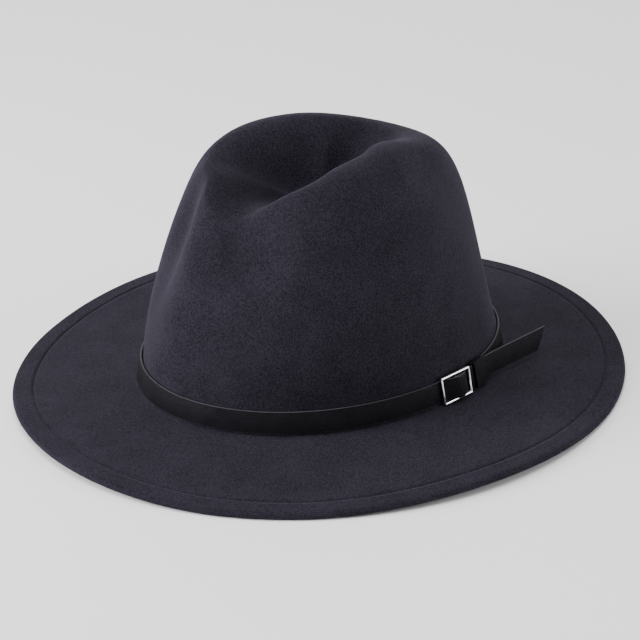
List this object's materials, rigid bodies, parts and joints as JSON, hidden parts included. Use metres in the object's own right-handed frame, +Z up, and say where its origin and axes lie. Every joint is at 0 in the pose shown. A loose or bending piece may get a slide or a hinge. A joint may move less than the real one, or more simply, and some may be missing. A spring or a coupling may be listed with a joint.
{
  "type": "felt fedora hat",
  "caption": "Wide-brimmed felt hat with a pinched crown and a narrow strap buckled round it, resting on its brim.",
  "frame": {"origin": "the middle of the hat's outline on the surface that its brim rests on", "axes": "+Z up through the crown, -Y towards the front of the hat, +X towards the wearer's left, where the band is buckled"},
  "size_m": [0.307, 0.339, 0.1353],
  "materials": {
    "felt": "dark charcoal wool felt, matt, with a short soft nap",
    "strap_leather": "fine grained black leather, low sheen",
    "buckle_metal": "polished"
  },
  "bodies": {
    "root": {"felt_body": "felt", "hat_band": "strap_leather", "buckle": "buckle_metal", "keeper_loop": "strap_leather"}
  },
  "joints": []
}
